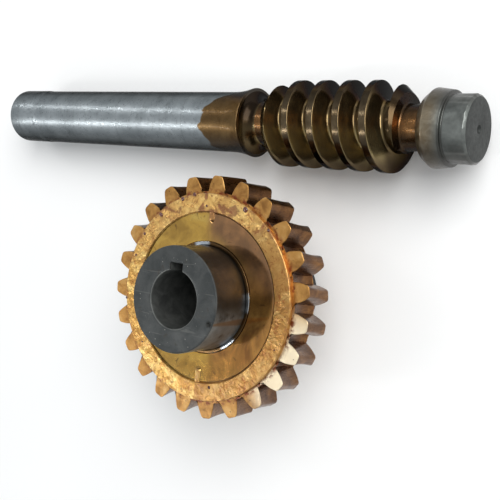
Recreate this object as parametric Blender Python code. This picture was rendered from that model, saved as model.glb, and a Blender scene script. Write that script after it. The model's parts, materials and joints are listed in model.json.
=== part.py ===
"""Single-start worm and its bronze worm wheel, laid out side by side as two loose parts.

Row frame, in metres: +Z is the wheel's axis and points up from the surface both parts lie on.
The worm lies along Y at +X, with its journal end at -Y. The origin is the middle of the whole
set's footprint, on that surface.
"""
import math

import bmesh
import bpy
from mathutils import Matrix, Vector

MM = 0.001
GAP = 0.3 * MM                      # left between two pieces that touch

# ---- the gear pair -------------------------------------------------------------------------
MODULE = 6.35 * MM
TEETH = 23
WHEEL_PITCH_R = MODULE * TEETH / 2
PRESSURE_ANGLE = math.radians(14.5)
CENTRE_DISTANCE = 100.0 * MM        # between the two axes once the pair is in mesh
LEAD = math.pi * MODULE             # one start, so the lead is the axial pitch
WORM_PITCH_R = 25.4 * MM
WORM_TIP_R = 30.4 * MM
WORM_ROOT_R = 17.0 * MM
THREAD_THICKNESS = 8.0 * MM         # of the worm's thread, at WORM_PITCH_R
BACKLASH = 0.5 * MM
TIP_CLEARANCE = 0.4 * MM            # worm crest to the bottom of the wheel's tooth space

# ---- the worm wheel ------------------------------------------------------------------------
TOOTH_WIDTH = 23.6 * MM
TEETH_TURN = math.radians(5.6)      # from the keyway's middle to a tooth space's middle
WHEEL_OUTER_R = 82.2 * MM
RIM_BOSS_R = 70.0 * MM              # raised band between the teeth and the disc
RIM_BOSS_WIDTH = 29.6 * MM
DISC_R = 57.8 * MM
DISC_WIDTH = 26.0 * MM
SEAT_R = 37.6 * MM                  # the steel hub's seat in the bronze
HUB_R = 35.0 * MM
HUB_FRONT = 44.9 * MM               # from the middle of the teeth to the hub's upper face
HUB_BACK = 77.5 * MM                 # and to its lower face, which the wheel stands on
EDGE_CHAMFER = 0.8 * MM             # also broken on the far edge of the worm's shank
BORE_R = 19.0 * MM
KEYWAY_WIDTH = 10.0 * MM
KEYWAY_DEPTH = 4.6 * MM
WASHER_WIDTH = 2.4 * MM
WASHER_PROUD = 0.6 * MM             # how far the washer stands out of the disc
SCREWS = 4                          # lock screws, on the joint between hub and rim
FIRST_SCREW_ANGLE = math.radians(45)
SCREW_R = 2.0 * MM
SCREW_LENGTH = 12.0 * MM
SCREW_SOCKET_R = 1.15 * MM
SCREW_SOCKET_DEPTH = 2.5 * MM

# ---- the worm: distances along its axis are from the middle of the thread --------------------
SHANK_R = 22.2 * MM
SHANK_SEAT_R = 22.5 * MM
SHANK_SEAT_LENGTH = 30.0 * MM
SHANK_END = 328.5 * MM
FLARE_START = 89.0 * MM
FLARE_END = 69.0 * MM
FLARE_R = 25.2 * MM
RECESS_START = 59.5 * MM             # foot of the hollow curve behind the flare
RECESS_R = 16.2 * MM
NECK_R = 15.2 * MM
THREAD_END_FAR = 50.0 * MM          # ends of the threaded length, chamfered down to THREAD_END_R
THREAD_END_NEAR = 53.0 * MM
THREAD_CHAMFER = 8.8 * MM
THREAD_END_R = 22.6 * MM
RUN_OUT_FAR = 56.0 * MM             # the thread groove's centre line runs out to here
RUN_OUT_NEAR = 59.0 * MM
COLLAR_START = 67.8 * MM
COLLAR_FACE_R = 21.4 * MM
COLLAR_R = 25.6 * MM
COLLAR_CHAMFER_END = 73.4 * MM
COLLAR_END = 84.6 * MM
COLLAR_END_R = 24.2 * MM
JOURNAL_R = 21.8 * MM
JOURNAL_END = 100.8 * MM
JOURNAL_CHAMFER = 1.7 * MM
CENTRE_HOLE_R = 3.0 * MM
CENTRE_HOLE_DEPTH = 5.0 * MM
THREAD_PHASE = -4.4 * MM            # a crest's place along the worm's top line

# ---- where the two parts lie ---------------------------------------------------------------
WORM_TO_WHEEL_X = 124.3 * MM        # across the worm, between the two axes
WORM_TO_WHEEL_Y = 56.0 * MM         # along the worm, thread middle to the wheel's axis

# The worm rests on its thread at one end and on its shank's edge at the other.
REST_POINT = THREAD_END_FAR - THREAD_CHAMFER
TILT = math.asin((WORM_TIP_R - SHANK_SEAT_R) / (SHANK_END - REST_POINT))
WORM_AXIS_Z = WORM_TIP_R * math.cos(TILT) + REST_POINT * math.sin(TILT)
HALF_X = (WHEEL_OUTER_R + WORM_TO_WHEEL_X + WORM_TIP_R) / 2
WHEEL_X = WHEEL_OUTER_R - HALF_X
WORM_X = WHEEL_X + WORM_TO_WHEEL_X
WORM_FAR_Y = SHANK_END * math.cos(TILT)
WORM_NEAR_Y = JOURNAL_END * math.cos(TILT)
WORM_Y = (WORM_NEAR_Y - WORM_FAR_Y) / 2
WHEEL_Y = WORM_Y + WORM_TO_WHEEL_Y

# ---- fineness ------------------------------------------------------------------------------
ROUND_STEPS = 64
WORM_STEPS = 36
SCREW_STEPS = 16
FLARE_STEPS = 5
HOLLOW_STEPS = 6
SECTIONS = 5                        # across the width of the wheel's teeth
FLANK_POINTS = 6
ROOT_CROWDING = 1.5                 # above 1 crowds the flank's points towards its root
RACK_SAMPLES = 60                   # heights tried up the worm thread's side
OVERCUT = 1.5 * MM                  # how far cutters run past the surface they open


def clear_scene():
    for obj in list(bpy.data.objects):
        bpy.data.objects.remove(obj, do_unlink=True)


def material(name, colour, roughness, metallic=1.0):
    mat = bpy.data.materials.new(name)
    mat.use_nodes = True
    shader = mat.node_tree.nodes["Principled BSDF"]
    shader.inputs["Base Color"].default_value = (*colour, 1.0)
    shader.inputs["Roughness"].default_value = roughness
    shader.inputs["Metallic"].default_value = metallic
    return mat


def empty(name, location, rotation=None):
    axis = bpy.data.objects.new(name, None)
    bpy.context.collection.objects.link(axis)
    turn = rotation.to_4x4() if rotation else Matrix.Identity(4)
    axis.matrix_world = Matrix.Translation(location) @ turn
    return axis


def mesh_object(name, bm, parent=None, mat=None):
    """Turn a bmesh into an object with its faces pointing out."""
    bmesh.ops.recalc_face_normals(bm, faces=bm.faces)
    mesh = bpy.data.meshes.new(name)
    bm.to_mesh(mesh)
    bm.free()
    mesh.shade_smooth()
    mesh.set_sharp_from_angle(angle=math.radians(30))
    obj = bpy.data.objects.new(name, mesh)
    bpy.context.collection.objects.link(obj)
    obj.parent = parent
    if mat:
        mesh.materials.append(mat)
    return obj


def turned(name, outline, steps, parent=None, mat=None):
    """A solid turned about Z from (radius, z) points. Radius 0 closes an end to a point."""
    bm = bmesh.new()
    rings = []
    for radius, z in outline:
        count = steps if radius > 0 else 1
        angles = [2 * math.pi * i / steps for i in range(count)]
        rings.append([bm.verts.new((radius * math.cos(a), radius * math.sin(a), z)) for a in angles])
    closed = outline[0][0] > 0
    pairs = list(zip(rings, rings[1:] + rings[:1])) if closed else list(zip(rings, rings[1:]))
    for first, second in pairs:
        for i in range(steps):
            j = (i + 1) % steps
            if len(first) == 1:
                corners = (first[0], second[i], second[j])
            elif len(second) == 1:
                corners = (first[j], first[i], second[0])
            else:
                corners = (first[j], first[i], second[i], second[j])
            bm.faces.new(corners)
    return mesh_object(name, bm, parent, mat)


def loft(name, rings, parent=None, mat=None):
    """A solid through rings of equal point count, with flat ends."""
    bm = bmesh.new()
    verts = [[bm.verts.new(point) for point in ring] for ring in rings]
    count = len(rings[0])
    for first, second in zip(verts, verts[1:]):
        for i in range(count):
            j = (i + 1) % count
            bm.faces.new((first[i], first[j], second[j], second[i]))
    bm.faces.new(verts[0])
    bm.faces.new(verts[-1])
    return mesh_object(name, bm, parent, mat)


def box(name, low, high, parent=None):
    bm = bmesh.new()
    bmesh.ops.create_cube(bm, size=1.0)
    size = Vector(high) - Vector(low)
    middle = (Vector(high) + Vector(low)) / 2
    bmesh.ops.transform(bm, matrix=Matrix.Diagonal((*size, 1.0)), verts=bm.verts)
    bmesh.ops.translate(bm, vec=middle, verts=bm.verts)
    return mesh_object(name, bm, parent)


def combine(obj, other, operation):
    """Add or cut another object with a Boolean, and keep that object as a hidden guide."""
    step = obj.modifiers.new(other.name, "BOOLEAN")
    step.operation = operation
    step.solver = "EXACT"
    step.object = other
    other.hide_render = True
    other.display_type = "WIRE"


# ---- the worm ------------------------------------------------------------------------------

def flare_radius(share):
    """Radius of the shank's flare, easing from the shank (0) to its full height (1)."""
    return SHANK_R + (FLARE_R - SHANK_R) * share ** 2


def hollow_point(share):
    """Radius and height on the curve from the flare's edge (0) down into the recess (1)."""
    turn = share * math.pi / 2
    radius = FLARE_R - (FLARE_R - RECESS_R) * math.sin(turn)
    return radius, -FLARE_END + (FLARE_END - RECESS_START) * (1 - math.cos(turn))


def worm_blank(parent, mat):
    """The turned blank, before the thread is cut. Its local +Z runs to the journal end."""
    outline = [
        (0, -SHANK_END),
        (SHANK_SEAT_R - EDGE_CHAMFER, -SHANK_END),
        (SHANK_SEAT_R, -SHANK_END + EDGE_CHAMFER),
        (SHANK_SEAT_R, -SHANK_END + SHANK_SEAT_LENGTH),
        (SHANK_R, -SHANK_END + SHANK_SEAT_LENGTH + GAP),
    ]
    for i in range(FLARE_STEPS + 1):
        share = i / FLARE_STEPS
        outline.append((flare_radius(share), -FLARE_START + (FLARE_START - FLARE_END) * share))
    for i in range(1, HOLLOW_STEPS + 1):
        outline.append(hollow_point(i / HOLLOW_STEPS))
    outline += [
        (RECESS_R, -THREAD_END_FAR - 2 * GAP),
        (THREAD_END_R, -THREAD_END_FAR),
        (WORM_TIP_R, -THREAD_END_FAR + THREAD_CHAMFER),
        (WORM_TIP_R, THREAD_END_NEAR - THREAD_CHAMFER),
        (THREAD_END_R, THREAD_END_NEAR),
        (NECK_R, THREAD_END_NEAR + 2 * GAP),
        (NECK_R, COLLAR_START),
        (COLLAR_FACE_R, COLLAR_START + GAP),
        (COLLAR_R, COLLAR_CHAMFER_END),
        (COLLAR_END_R, COLLAR_END),
        (JOURNAL_R, COLLAR_END + GAP),
        (JOURNAL_R, JOURNAL_END - JOURNAL_CHAMFER),
        (JOURNAL_R - JOURNAL_CHAMFER, JOURNAL_END),
        (CENTRE_HOLE_R, JOURNAL_END),
        (0, JOURNAL_END - CENTRE_HOLE_DEPTH),
    ]
    return turned("worm_shaft", outline, WORM_STEPS, parent, mat)


def groove_half_width(radius, thickness):
    """Half the width of the space between two thread turns, at a radius."""
    thread = thickness - 2 * (radius - WORM_PITCH_R) * math.tan(PRESSURE_ANGLE)
    return (LEAD - thread) / 2


def thread_groove(parent):
    """The helical space between the thread's turns, as one long right-hand swept cutter."""
    outer_r = WORM_TIP_R + OVERCUT
    floor = groove_half_width(WORM_ROOT_R, THREAD_THICKNESS)
    mouth = groove_half_width(outer_r, THREAD_THICKNESS)
    section = [(WORM_ROOT_R, -floor), (WORM_ROOT_R, floor), (outer_r, mouth), (outer_r, -mouth)]
    length = RUN_OUT_FAR + RUN_OUT_NEAR
    steps = round(length / LEAD * WORM_STEPS)
    rings = []
    for i in range(steps + 1):
        along = -RUN_OUT_FAR + length * i / steps
        angle = 2 * math.pi * (along - THREAD_PHASE - LEAD / 2) / LEAD
        rings.append([(r * math.cos(angle), r * math.sin(angle), along + z) for r, z in section])
    return loft("thread_groove_cutter", rings, parent)


def make_worm(parent, mat):
    worm = worm_blank(parent, mat)
    combine(worm, thread_groove(parent), "DIFFERENCE")
    return worm


# ---- the worm wheel --------------------------------------------------------------------------

def space_edge(radius, z, side):
    """Angle of one edge of a tooth space, at a radius in the plane z from the middle.

    The worm's thread in this plane is a rack that slides along Y while the wheel turns. The
    edge is the widest angle that any point of the rack's side reaches at this radius.
    """
    deepest = math.sqrt((WORM_TIP_R + TIP_CLEARANCE) ** 2 - z ** 2)
    shallowest = CENTRE_DISTANCE - radius
    reached = []
    for i in range(RACK_SAMPLES + 1):
        h = shallowest + (deepest - shallowest) * i / RACK_SAMPLES
        thread_r = math.hypot(h, z)
        half = (THREAD_THICKNESS + BACKLASH) / 2 - (thread_r - WORM_PITCH_R) * math.tan(PRESSURE_ANGLE)
        rack_y = side * half + LEAD / (2 * math.pi) * math.atan2(z, h)
        x = CENTRE_DISTANCE - h
        for y in (1, -1):
            y *= math.sqrt(max(radius ** 2 - x ** 2, 0))
            reached.append(side * (math.atan2(y, x) - (y - rack_y) / WHEEL_PITCH_R))
    return side * max(reached)


def tooth_ring(z):
    """Outline of the toothed wheel in the plane z from the middle of its width."""
    root_r = CENTRE_DISTANCE - math.sqrt((WORM_TIP_R + TIP_CLEARANCE) ** 2 - z ** 2)
    depth = WHEEL_OUTER_R - root_r
    radii = [root_r + depth * (i / (FLANK_POINTS - 1)) ** ROOT_CROWDING for i in range(FLANK_POINTS)]
    space = [(r, space_edge(r, z, -1)) for r in reversed(radii)]
    space += [(r, space_edge(r, z, 1)) for r in radii]
    pitch = 2 * math.pi / TEETH
    space.append((WHEEL_OUTER_R, (space[-1][1] + space[0][1] + pitch) / 2))
    ring = []
    for tooth in range(TEETH):
        for radius, angle in space:
            turn = angle + tooth * pitch + TEETH_TURN
            ring.append((radius * math.cos(turn), radius * math.sin(turn), z))
    return ring


def screw_places():
    """Angles of the lock screws round the joint between hub and rim."""
    return [FIRST_SCREW_ANGLE + 2 * math.pi * i / SCREWS for i in range(SCREWS)]


def screw_holes(parent):
    """Cutters for the screw holes, which are blind and open on the disc's back."""
    holes = []
    radius = SCREW_R + GAP
    mouth = -DISC_WIDTH / 2 - OVERCUT
    bottom = -DISC_WIDTH / 2 + SCREW_LENGTH + GAP
    outline = [(0, mouth), (radius, mouth), (radius, bottom), (0, bottom)]
    for index, angle in enumerate(screw_places(), start=1):
        hole = turned(f"screw_hole_cutter_{index}", outline, SCREW_STEPS, parent)
        hole.location = (SEAT_R * math.cos(angle), SEAT_R * math.sin(angle), 0)
        holes.append(hole)
    return holes


def make_rim(parent, holes, mat):
    """Bronze rim: toothed band, raised boss each side, thinner disc and the hub's seat."""
    half = TOOTH_WIDTH / 2
    levels = [-half + TOOTH_WIDTH * i / (SECTIONS - 1) for i in range(SECTIONS)]
    rim = loft("wheel_rim", [tooth_ring(z) for z in levels], parent, mat)
    boss, disc = RIM_BOSS_WIDTH / 2, DISC_WIDTH / 2
    for name, side in (("front", 1), ("back", -1)):
        root = side * (half - GAP)
        raised = [(0, root), (RIM_BOSS_R, root), (RIM_BOSS_R, side * boss), (0, side * boss)]
        combine(rim, turned(f"{name}_boss_guide", raised, ROUND_STEPS, parent), "UNION")
        past = side * (boss + OVERCUT)
        recess = [(0, side * disc), (DISC_R, side * disc), (DISC_R, past), (0, past)]
        combine(rim, turned(f"{name}_recess_cutter", recess, ROUND_STEPS, parent), "DIFFERENCE")
    for hole in holes:
        combine(rim, hole, "DIFFERENCE")
    seat = SEAT_R + GAP
    bore = [(0, -boss), (seat, -boss), (seat, boss), (0, boss)]
    combine(rim, turned("rim_bore_cutter", bore, ROUND_STEPS, parent), "DIFFERENCE")
    return rim


def make_hub(parent, holes, mat):
    """Steel hub: seat for the rim, a boss each side, a bore and one keyway towards the worm."""
    disc = DISC_WIDTH / 2
    shoulder = disc + WASHER_PROUD - WASHER_WIDTH - GAP
    outline = [
        (HUB_R - EDGE_CHAMFER, -HUB_BACK), (HUB_R, -HUB_BACK + EDGE_CHAMFER), (HUB_R, -disc),
        (SEAT_R, -disc), (SEAT_R, shoulder), (HUB_R, shoulder),
        (HUB_R, HUB_FRONT - EDGE_CHAMFER), (HUB_R - EDGE_CHAMFER, HUB_FRONT),
        (BORE_R + EDGE_CHAMFER, HUB_FRONT), (BORE_R, HUB_FRONT - EDGE_CHAMFER),
        (BORE_R, -HUB_BACK + EDGE_CHAMFER), (BORE_R + EDGE_CHAMFER, -HUB_BACK),
    ]
    hub = turned("wheel_hub", outline, ROUND_STEPS, parent, mat)
    keyway = box("keyway_cutter", (0, -KEYWAY_WIDTH / 2, -HUB_BACK - OVERCUT),
                 (BORE_R + KEYWAY_DEPTH, KEYWAY_WIDTH / 2, HUB_FRONT + OVERCUT), parent)
    combine(hub, keyway, "DIFFERENCE")
    for hole in holes:
        combine(hub, hole, "DIFFERENCE")
    return hub


def make_washer(parent, mat):
    """Thrust washer, loose round the boss. It stays with the housing while the wheel turns."""
    top = DISC_WIDTH / 2 + WASHER_PROUD
    inner = HUB_R + GAP
    outline = [
        (inner, top - WASHER_WIDTH), (SEAT_R, top - WASHER_WIDTH), (SEAT_R, top - GAP),
        (SEAT_R - GAP, top), (inner, top),
    ]
    return turned("thrust_washer", outline, ROUND_STEPS, parent, mat)


def make_lock_screw(index, angle, parent, mat):
    """Headless lock screw with a hexagon socket, half in the hub and half in the rim."""
    back = -DISC_WIDTH / 2
    outline = [
        (0, back + SCREW_LENGTH), (SCREW_R, back + SCREW_LENGTH), (SCREW_R, back + GAP),
        (SCREW_R - GAP, back), (0, back),
    ]
    screw = turned(f"lock_screw_{index}", outline, SCREW_STEPS, parent, mat)
    screw.location = (SEAT_R * math.cos(angle), SEAT_R * math.sin(angle), 0)
    mouth, floor = back - OVERCUT, back + SCREW_SOCKET_DEPTH
    hexagon = [(0, mouth), (SCREW_SOCKET_R, mouth), (SCREW_SOCKET_R, floor), (0, floor)]
    socket = turned(f"screw_socket_cutter_{index}", hexagon, 6, parent)
    socket.location = screw.location
    combine(screw, socket, "DIFFERENCE")
    return screw


def build():
    clear_scene()
    bronze = material("bronze", (0.66, 0.40, 0.14), 0.35)
    dark_steel = material("dark_steel", (0.10, 0.10, 0.10), 0.5)
    bright_steel = material("bright_steel", (0.62, 0.65, 0.68), 0.25)
    worm_steel = material("worm_steel", (0.33, 0.34, 0.34), 0.35)

    wheel_axis = empty("wheel_axis", Vector((WHEEL_X, WHEEL_Y, HUB_BACK)))
    # The worm's local +X is its top line, and its local +Z runs to the journal end, at -Y.
    lying = Matrix(((0, -1, 0), (0, 0, -1), (1, 0, 0)))
    worm_axis = empty("worm_axis", Vector((WORM_X, WORM_Y, WORM_AXIS_Z)),
                      Matrix.Rotation(-TILT, 3, "X") @ lying)

    holes = screw_holes(wheel_axis)
    make_rim(wheel_axis, holes, bronze)
    make_hub(wheel_axis, holes, dark_steel)
    make_washer(wheel_axis, bright_steel)
    for index, angle in enumerate(screw_places(), start=1):
        make_lock_screw(index, angle, wheel_axis, bright_steel)
    make_worm(worm_axis, worm_steel)


build()
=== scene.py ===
"""Looks of a worm gear set: a bronze worm wheel on a steel hub, and a worm cut on its shaft.

Each piece is built again in finer mesh, in the frame of its own CAD axis. The wheel's Z is the
wheel's axis with the middle of the teeth at 0, and its +X points at the worm. The worm's Z runs
along it to the journal end with the middle of the thread at 0, and its +X is its top line.
"""
import json
import math

import bpy
import bmesh
import numpy as np
from mathutils import Matrix, Vector, noise


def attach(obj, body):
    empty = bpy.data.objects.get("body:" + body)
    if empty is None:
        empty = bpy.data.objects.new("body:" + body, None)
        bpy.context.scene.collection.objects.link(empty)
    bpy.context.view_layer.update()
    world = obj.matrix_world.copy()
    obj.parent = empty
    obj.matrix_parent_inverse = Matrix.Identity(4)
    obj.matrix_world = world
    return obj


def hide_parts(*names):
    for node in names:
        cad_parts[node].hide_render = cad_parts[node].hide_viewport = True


MM = 0.001
TURN = 2 * math.pi

# ---- the gear pair, as in the CAD, in millimetres --------------------
MODULE = 6.35
TEETH = 23
WHEEL_PITCH_R = MODULE * TEETH / 2
PRESSURE_ANGLE = math.radians(14.5)
CENTRE_DISTANCE = 100.0
LEAD = math.pi * MODULE
WORM_PITCH_R = 25.4
WORM_TIP_R = 30.4
WORM_ROOT_R = 17.0
THREAD_THICKNESS = 8.0
BACKLASH = 0.5
TIP_CLEARANCE = 0.4

# ---- the worm wheel --------------------------------------------------
TOOTH_HALF = 11.8                   # half the width of the teeth
TOOTH_EDGE = 0.35                   # how far the ends of the teeth are drawn in
TEETH_TURN = math.radians(5.6)
WHEEL_OUTER_R = 82.2
BAND_R = 70.0                       # raised band between the teeth and the disc
BAND_Z = 14.8
DISC_R = 57.8
DISC_Z = 13.0
SEAT_R = 37.6
SEAT_GAP = 0.3
HUB_R = 35.0
HUB_FACE_R = HUB_R - 1.3            # where its front face starts to be rounded off
HUB_FRONT = 44.9
HUB_BACK = 77.5
BORE_R = 19.0
BORE_EDGE = 0.8                     # rounded edge at both ends of the bore
KEYWAY_HALF = 5.0
KEYWAY_R = 23.6                     # from the axis to the keyway's floor
WASHER_TOP = 13.6
WASHER_BOTTOM = 11.2
SHOULDER_Z = 10.9
SCREW_HOLE_R = 2.3
SCREW_HOLE_END = -0.7
SCREW_ANGLES = [math.radians(45 + 90 * i) for i in range(4)]

# ---- the worm --------------------------------------------------------
SHANK_R = 22.2
SHANK_SEAT_R = 22.5
SHANK_SEAT_LENGTH = 30.0
SHANK_END = 328.5
FLARE_START = 89.0
FLARE_END = 69.0
FLARE_R = 25.2
RECESS_START = 59.5
RECESS_R = 16.2
NECK_R = 15.2
THREAD_END_FAR = 50.0
THREAD_END_NEAR = 53.0
THREAD_CHAMFER = 8.8
THREAD_END_R = 22.6
COLLAR_START = 67.8
COLLAR_FACE_R = 21.4
COLLAR_R = 25.6
COLLAR_CHAMFER_END = 73.4
COLLAR_END = 84.6
COLLAR_END_R = 24.2
JOURNAL_R = 21.8
JOURNAL_END = 100.8
JOURNAL_CHAMFER = 1.7
CENTRE_HOLE_R = 3.0
CENTRE_HOLE_DEPTH = 5.0
THREAD_PHASE = -4.4

# ---- fineness --------------------------------------------------------
WORM_STEPS = 144
HUB_STEPS = 720
WASHER_STEPS = 256
DROP_STEPS = 20
DROP_TIERS = 6
SHANK_RINGS = 40                    # along its plain length
CURVE_RINGS = 12                    # along the flare, and along the hollow behind it
RIM_SECTIONS = 13
FLANK_POINTS = 12
CORNER_POINTS = 4
FLOOR_POINTS = 3
LAND_POINTS = 3
RACK_SAMPLES = 60

# ---- the camera: its right and up in the row's frame -----------------
CAMERA_RIGHT = Vector((0.0934, -0.8118, -0.5763))
CAMERA_UP = Vector((0.9934, 0.1151, -0.0011))
CAMERA_FROM_WORM = Vector((-60.05, -85.3, 571.0))    # along right, up and back
LENS = 60.1
SENSOR = 36.0

# ---- the floor, in metres --------------------------------------------
FLOOR_HALF = 6.0
FLOOR_Z = -0.0005                   # a little below the object, so that faces don't coincide

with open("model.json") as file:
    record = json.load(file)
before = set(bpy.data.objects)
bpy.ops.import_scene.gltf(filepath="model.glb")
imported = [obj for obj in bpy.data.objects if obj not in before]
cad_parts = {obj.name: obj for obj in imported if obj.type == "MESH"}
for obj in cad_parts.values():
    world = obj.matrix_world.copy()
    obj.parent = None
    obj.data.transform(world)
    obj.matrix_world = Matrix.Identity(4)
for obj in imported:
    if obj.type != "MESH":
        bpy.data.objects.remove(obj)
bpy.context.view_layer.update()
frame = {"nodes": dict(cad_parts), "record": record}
joints = {joint["name"]: joint for joint in frame["record"]["behaviour"]["joints"]}


# ======================================================
# Frames and meshes
# ======================================================

def wheel_frame():
    return Matrix.Translation(joints["wheel_spin"]["pos_m"])


def worm_frame():
    """The worm's own frame, in the row frame: it tilts with the worm as it lies."""
    along = Vector(joints["worm_spin"]["axis"]).normalized()
    side = Vector((-1, 0, 0))
    top = side.cross(along).normalized()
    turn = Matrix((top, side, along)).transposed()
    return Matrix.Translation(joints["worm_spin"]["pos_m"]) @ turn.to_4x4()


def polar(radius, angle, z):
    """A point given round the Z axis."""
    return Vector((radius * math.cos(angle), radius * math.sin(angle), z))


def smooth_step(value, low, high):
    share = min(max((value - low) / (high - low), 0.0), 1.0)
    return share * share * (3 - 2 * share)


def ring_faces(bm, first, second):
    """Faces between two rings of vertices. A ring of one vertex is a point on the axis."""
    count = max(len(first), len(second))
    for i in range(count):
        j = (i + 1) % count
        corners = [first[i % len(first)], first[j % len(first)],
                   second[j % len(second)], second[i % len(second)]]
        corners = list(dict.fromkeys(corners))
        if len(corners) > 2:
            bm.faces.new(corners)


def finish_mesh(name, bm, place, materials, zone=None, sharp=35):
    """Make the object, in millimetres in its own frame, and give each face its zone's material."""
    bmesh.ops.recalc_face_normals(bm, faces=bm.faces)
    if zone:
        for face in bm.faces:
            face.material_index = zone(face.calc_center_median())
    bmesh.ops.transform(bm, matrix=place @ Matrix.Scale(MM, 4), verts=bm.verts)
    mesh = bpy.data.meshes.new(name)
    bm.to_mesh(mesh)
    bm.free()
    for mat in materials:
        mesh.materials.append(mat)
    mesh.shade_smooth()
    mesh.set_sharp_from_angle(angle=math.radians(sharp))
    obj = bpy.data.objects.new(name, mesh)
    bpy.context.collection.objects.link(obj)
    return obj


def solid_of_rings(rings):
    """A bmesh through rings of points, with the last ring joined back to the first."""
    bm = bmesh.new()
    verts = [[bm.verts.new(point) for point in ring] for ring in rings]
    for first, second in zip(verts, verts[1:]):
        ring_faces(bm, first, second)
    ring_faces(bm, verts[-1], verts[0])
    return bm


def rounded(before, corner, after, size, points=4):
    """Points that round off a corner of an outline of (radius, z) points."""
    corner = Vector(corner)
    start = corner + (Vector(before) - corner).normalized() * size
    end = corner + (Vector(after) - corner).normalized() * size
    shares = [i / (points - 1) for i in range(points)]
    return [tuple(start * (1 - s) ** 2 + corner * 2 * s * (1 - s) + end * s ** 2) for s in shares]


def rounded_outline(outline, sizes):
    """Round off the corners of an open outline. sizes maps a corner's index to its rounding."""
    points = []
    for i, corner in enumerate(outline):
        if i in sizes:
            points += rounded(outline[i - 1], corner, outline[i + 1], sizes[i])
        else:
            points.append(corner)
    return points


# ======================================================
# The worm
# ======================================================

def thread_thickness(radius):
    return THREAD_THICKNESS - 2 * (radius - WORM_PITCH_R) * math.tan(PRESSURE_ANGLE)


def thread_profile():
    """Half of the thread's section: (distance along the worm from the crest's middle, radius)."""
    edge = 0.55
    fillet = 1.6
    crest = thread_thickness(WORM_TIP_R) / 2
    points = [((crest - edge) * i / 5, WORM_TIP_R) for i in range(6)]
    points += rounded((0, WORM_TIP_R), (crest, WORM_TIP_R),
                      (crest, WORM_ROOT_R), edge)[1:]
    flank_start, flank_end = WORM_TIP_R - edge, WORM_ROOT_R + fillet
    for i in range(1, 17):
        radius = flank_start + (flank_end - flank_start) * i / 16
        points.append((thread_thickness(radius) / 2, radius))
    foot = thread_thickness(flank_end) / 2
    points += rounded((foot, WORM_TIP_R), (foot, WORM_ROOT_R), (LEAD, WORM_ROOT_R), fillet)[1:]
    floor = points[-1][0]
    points += [(floor + (LEAD / 2 - floor) * i / 3, WORM_ROOT_R) for i in range(1, 4)]
    return points


def threaded_blank_radius(z):
    """Radius of the turned blank over the threaded length, chamfered at both ends."""
    slope = (WORM_TIP_R - THREAD_END_R) / THREAD_CHAMFER
    far = THREAD_END_R + (z + THREAD_END_FAR) * slope
    near = THREAD_END_R + (THREAD_END_NEAR - z) * slope
    return min(WORM_TIP_R, far, near)


def shank_rings():
    """Rings of the plain shank from its far end to the recess before the thread."""
    outline = [(0, -SHANK_END), (SHANK_SEAT_R, -SHANK_END),
               (SHANK_SEAT_R, -SHANK_END + SHANK_SEAT_LENGTH),
               (SHANK_R, -SHANK_END + SHANK_SEAT_LENGTH + 0.6)]
    outline = rounded_outline(outline, {1: 1.0, 2: 0.3})
    last = outline[-1][1]
    plain = [(SHANK_R, last + (-FLARE_START - last) * i / SHANK_RINGS)
             for i in range(1, SHANK_RINGS)]
    flare = []
    for i in range(CURVE_RINGS + 1):
        share = i / CURVE_RINGS
        radius = SHANK_R + (FLARE_R - SHANK_R) * share ** 2
        flare.append((radius, -FLARE_START + (FLARE_START - FLARE_END) * share))
    hollow = []
    for i in range(CURVE_RINGS + 1):
        turn = math.pi / 2 * i / CURVE_RINGS
        radius = FLARE_R - (FLARE_R - RECESS_R) * math.sin(turn)
        hollow.append((radius, -FLARE_END + (FLARE_END - RECESS_START) * (1 - math.cos(turn))))
    edge = rounded_outline([flare[-2], flare[-1], hollow[1]], {1: 0.5})[1:-1]
    foot = [hollow[-1], (RECESS_R, -THREAD_END_FAR - 0.6), (THREAD_END_R, -THREAD_END_FAR)]
    foot = rounded_outline(foot, {1: 1.5})[:-1]
    return outline + plain + flare[:-1] + edge + hollow[1:-1] + foot


def journal_rings():
    """Rings from the neck after the thread to the journal's end face and its centre hole."""
    outline = [
        (THREAD_END_R, THREAD_END_NEAR), (NECK_R, THREAD_END_NEAR + 0.6), (NECK_R, COLLAR_START),
        (COLLAR_FACE_R, COLLAR_START + 0.3), (COLLAR_R, COLLAR_CHAMFER_END),
        (COLLAR_END_R, COLLAR_END), (JOURNAL_R, COLLAR_END + 0.3),
        (JOURNAL_R, JOURNAL_END - JOURNAL_CHAMFER),
        (JOURNAL_R - JOURNAL_CHAMFER, JOURNAL_END), (CENTRE_HOLE_R, JOURNAL_END),
        (0, JOURNAL_END - CENTRE_HOLE_DEPTH),
    ]
    sizes = {1: 1.6, 2: 1.2, 3: 0.5, 4: 0.7, 5: 0.5, 6: 0.6, 7: 0.3, 8: 0.5, 9: 0.3}
    return rounded_outline(outline, sizes)[1:]


def worn(radius, angle, z):
    """A turned radius with the dents that the journal's edge has picked up."""
    edge = math.exp(-((z - JOURNAL_END + JOURNAL_CHAMFER) / 1.2) ** 2)
    place = Vector((math.cos(angle) * 9, math.sin(angle) * 9, z * 0.4))
    return radius + edge * 0.45 * noise.noise(place) if radius > NECK_R + 2 else radius


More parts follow.
